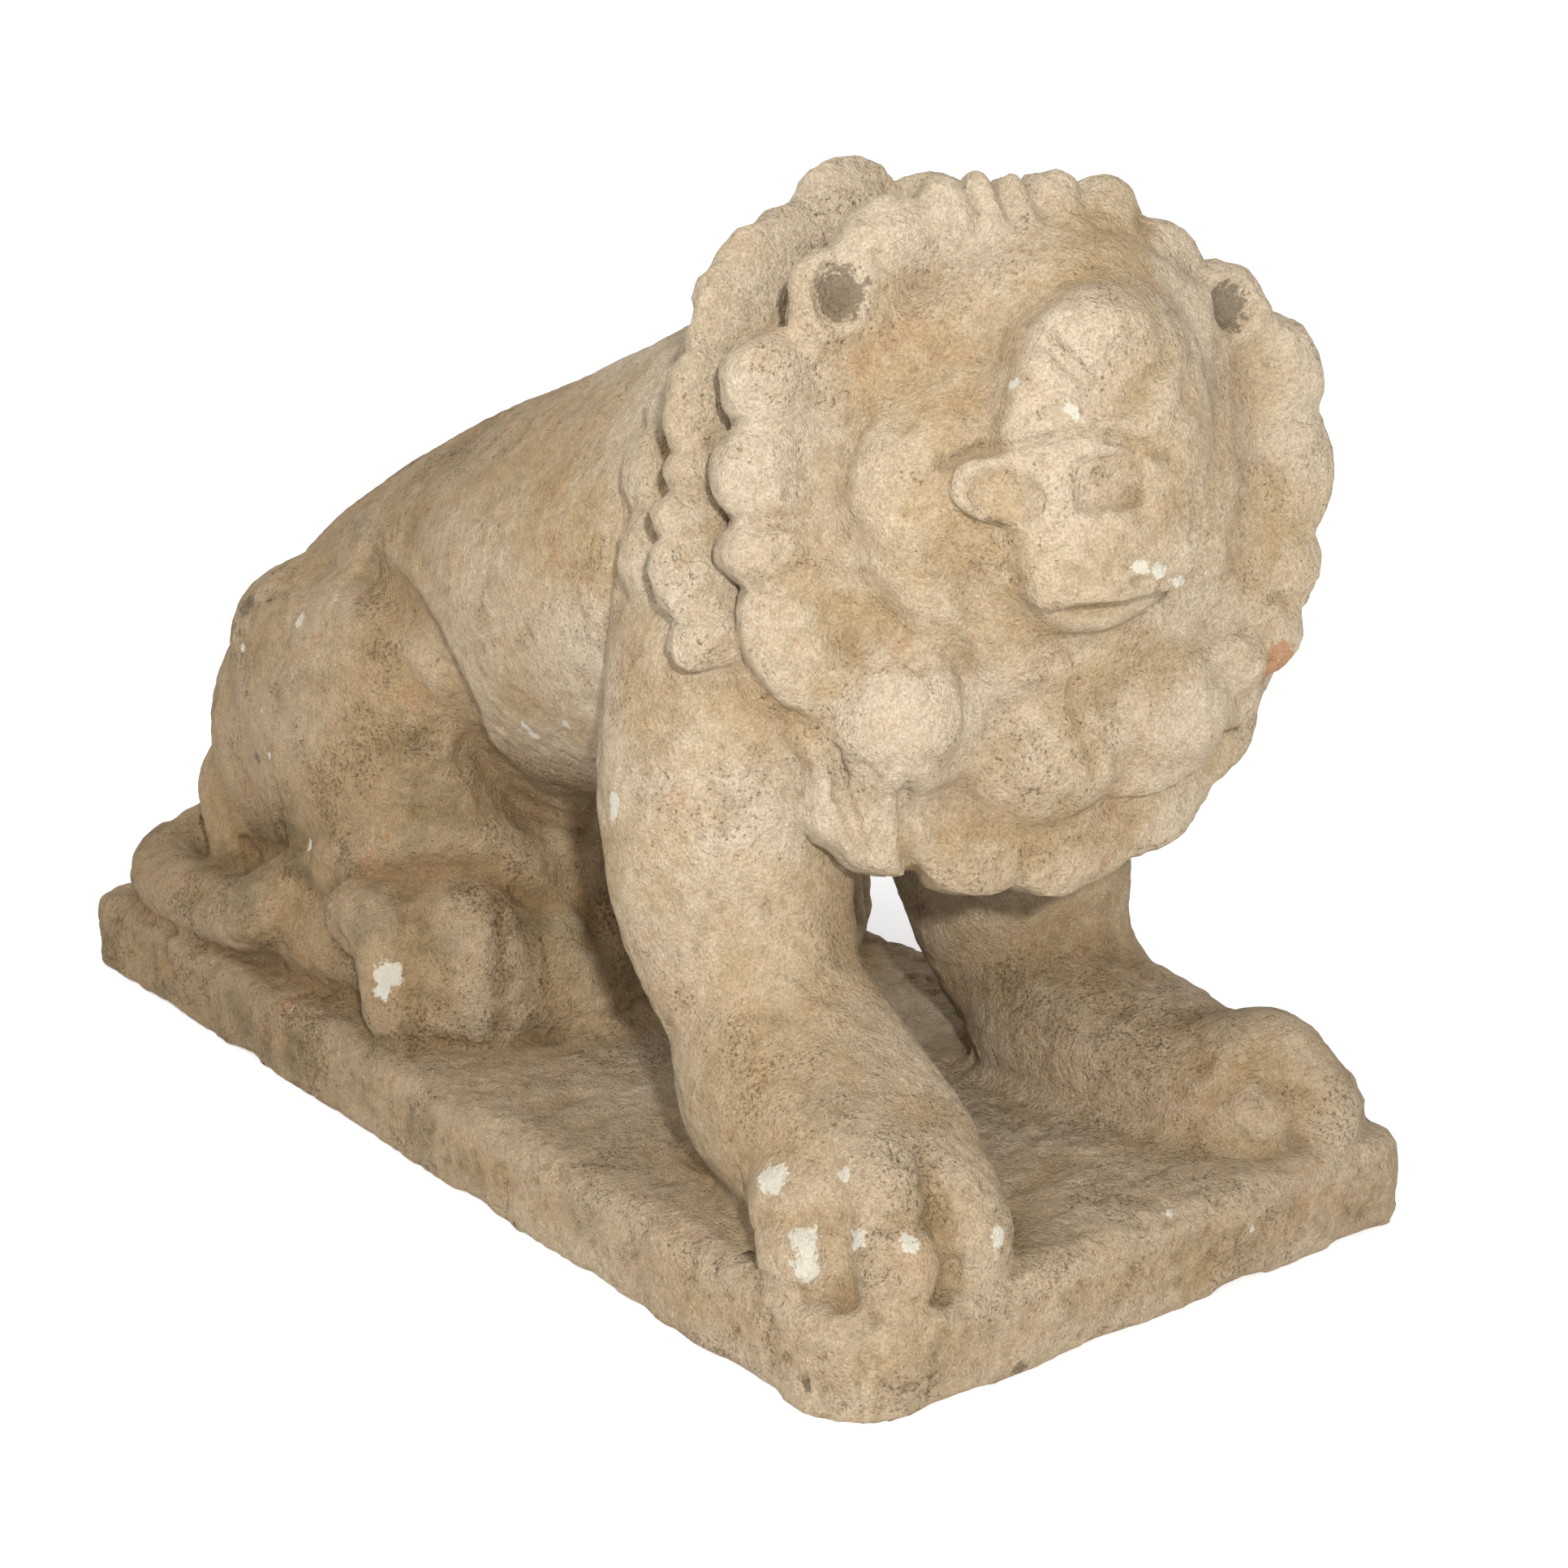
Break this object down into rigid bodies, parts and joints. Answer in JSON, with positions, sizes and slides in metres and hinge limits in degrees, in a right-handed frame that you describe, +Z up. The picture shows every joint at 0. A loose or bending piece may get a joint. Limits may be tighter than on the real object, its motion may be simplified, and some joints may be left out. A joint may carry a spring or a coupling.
{
  "type": "lion statue",
  "caption": "Carved stone lion crouching on a rectangular slab, forelegs braced, head turned to its right, with a collared mane and a tail laid over the hind foot.",
  "frame": {"origin": "centre of the slab's flat underside", "axes": "+Z up, the lion faces -Y, its right side is towards -X and its head is turned to that side"},
  "size_m": [0.432, 0.9654, 0.6138],
  "materials": {
    "stone": "weathered buff sandstone, rough"
  },
  "bodies": {
    "root": {"lion_statue": "stone"}
  },
  "joints": []
}
